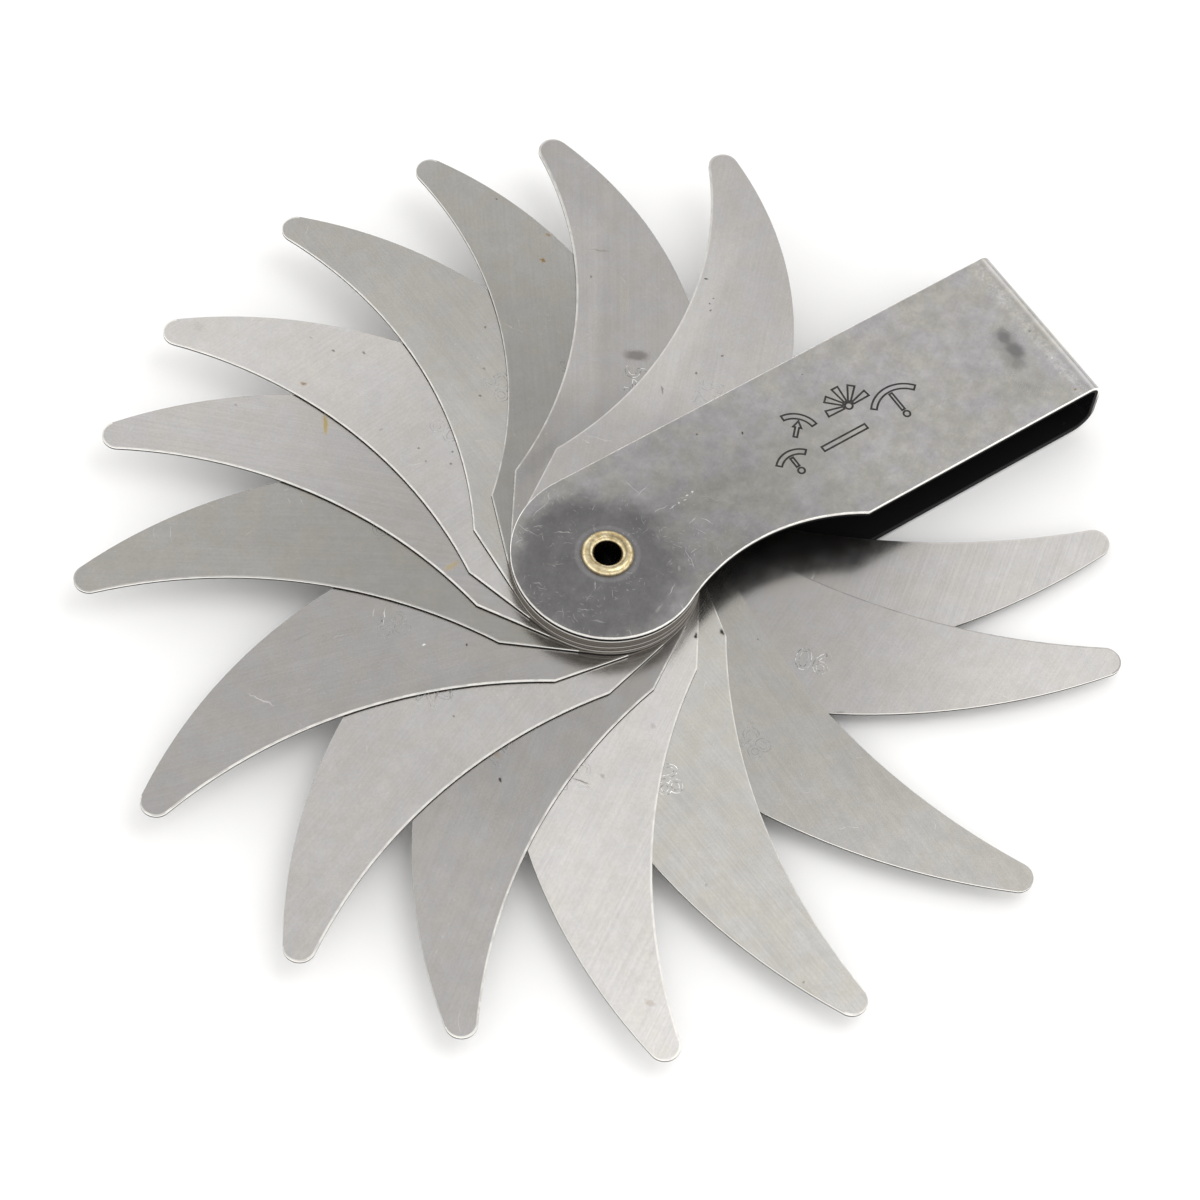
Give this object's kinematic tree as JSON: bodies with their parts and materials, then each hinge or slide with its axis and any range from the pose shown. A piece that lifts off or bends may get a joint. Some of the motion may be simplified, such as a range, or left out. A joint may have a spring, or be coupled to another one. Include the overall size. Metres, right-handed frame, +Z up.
{
  "type": "radius gauge",
  "caption": "Folding radius gauge: crescent steel blades, each with one concave and one convex edge, turn on a hollow brass rivet in a U-bent sheet holder with open long sides.",
  "frame": {"origin": "on the pivot's axis, level with the underside of the holder's lower plate", "axes": "+X along the holder from the pivot to the bend, +Z up through the rivet, out of the marked top plate"},
  "size_m": [0.1368, 0.1325, 0.0103],
  "materials": {
    "holder_steel": "satin, worn and stained",
    "eyelet_brass": "aged, rolled",
    "blade_r52_steel": "ground, lightly scratched and pitted",
    "blade_r54_steel": "ground, lightly scratched and pitted",
    "blade_r56_steel": "ground, lightly scratched and pitted",
    "blade_r58_steel": "ground, lightly scratched and pitted",
    "blade_r60_steel": "ground, lightly scratched and pitted",
    "blade_r62_steel": "ground, lightly scratched and pitted",
    "blade_r65_steel": "ground, lightly scratched and pitted",
    "blade_r68_steel": "ground, lightly scratched and pitted",
    "blade_r70_steel": "ground, lightly scratched and pitted",
    "blade_r72_steel": "ground, lightly scratched and pitted",
    "blade_r75_steel": "ground, lightly scratched and pitted",
    "blade_r80_steel": "ground, lightly scratched and pitted",
    "blade_r85_steel": "ground, lightly scratched and pitted",
    "blade_r90_steel": "ground, lightly scratched and pitted",
    "blade_r100_steel": "ground, lightly scratched and pitted"
  },
  "bodies": {
    "holder": {"holder": "holder_steel", "pivot_eyelet": "eyelet_brass"},
    "blade_r52": {"blade_r52": "blade_r52_steel"},
    "blade_r54": {"blade_r54": "blade_r54_steel"},
    "blade_r56": {"blade_r56": "blade_r56_steel"},
    "blade_r58": {"blade_r58": "blade_r58_steel"},
    "blade_r60": {"blade_r60": "blade_r60_steel"},
    "blade_r62": {"blade_r62": "blade_r62_steel"},
    "blade_r65": {"blade_r65": "blade_r65_steel"},
    "blade_r68": {"blade_r68": "blade_r68_steel"},
    "blade_r70": {"blade_r70": "blade_r70_steel"},
    "blade_r72": {"blade_r72": "blade_r72_steel"},
    "blade_r75": {"blade_r75": "blade_r75_steel"},
    "blade_r80": {"blade_r80": "blade_r80_steel"},
    "blade_r85": {"blade_r85": "blade_r85_steel"},
    "blade_r90": {"blade_r90": "blade_r90_steel"},
    "blade_r100": {"blade_r100": "blade_r100_steel"}
  },
  "joints": [
    {"name": "pivot_r52", "type": "hinge", "parent": "holder", "child": "blade_r52", "pos_m": [0, 0, 0], "axis": [0, 0, 1], "continuous": true},
    {"name": "pivot_r54", "type": "hinge", "parent": "holder", "child": "blade_r54", "pos_m": [0, 0, 0], "axis": [0, 0, 1], "continuous": true},
    {"name": "pivot_r56", "type": "hinge", "parent": "holder", "child": "blade_r56", "pos_m": [0, 0, 0], "axis": [0, 0, 1], "continuous": true},
    {"name": "pivot_r58", "type": "hinge", "parent": "holder", "child": "blade_r58", "pos_m": [0, 0, 0], "axis": [0, 0, 1], "continuous": true},
    {"name": "pivot_r60", "type": "hinge", "parent": "holder", "child": "blade_r60", "pos_m": [0, 0, 0], "axis": [0, 0, 1], "continuous": true},
    {"name": "pivot_r62", "type": "hinge", "parent": "holder", "child": "blade_r62", "pos_m": [0, 0, 0], "axis": [0, 0, 1], "continuous": true},
    {"name": "pivot_r65", "type": "hinge", "parent": "holder", "child": "blade_r65", "pos_m": [0, 0, 0], "axis": [0, 0, 1], "continuous": true},
    {"name": "pivot_r68", "type": "hinge", "parent": "holder", "child": "blade_r68", "pos_m": [0, 0, 0], "axis": [0, 0, 1], "continuous": true},
    {"name": "pivot_r70", "type": "hinge", "parent": "holder", "child": "blade_r70", "pos_m": [0, 0, 0], "axis": [0, 0, 1], "continuous": true},
    {"name": "pivot_r72", "type": "hinge", "parent": "holder", "child": "blade_r72", "pos_m": [0, 0, 0], "axis": [0, 0, 1], "continuous": true},
    {"name": "pivot_r75", "type": "hinge", "parent": "holder", "child": "blade_r75", "pos_m": [0, 0, 0], "axis": [0, 0, 1], "continuous": true},
    {"name": "pivot_r80", "type": "hinge", "parent": "holder", "child": "blade_r80", "pos_m": [0, 0, 0], "axis": [0, 0, 1], "continuous": true},
    {"name": "pivot_r85", "type": "hinge", "parent": "holder", "child": "blade_r85", "pos_m": [0, 0, 0], "axis": [0, 0, 1], "continuous": true},
    {"name": "pivot_r90", "type": "hinge", "parent": "holder", "child": "blade_r90", "pos_m": [0, 0, 0], "axis": [0, 0, 1], "continuous": true},
    {"name": "pivot_r100", "type": "hinge", "parent": "holder", "child": "blade_r100", "pos_m": [0, 0, 0], "axis": [0, 0, 1], "continuous": true}
  ]
}
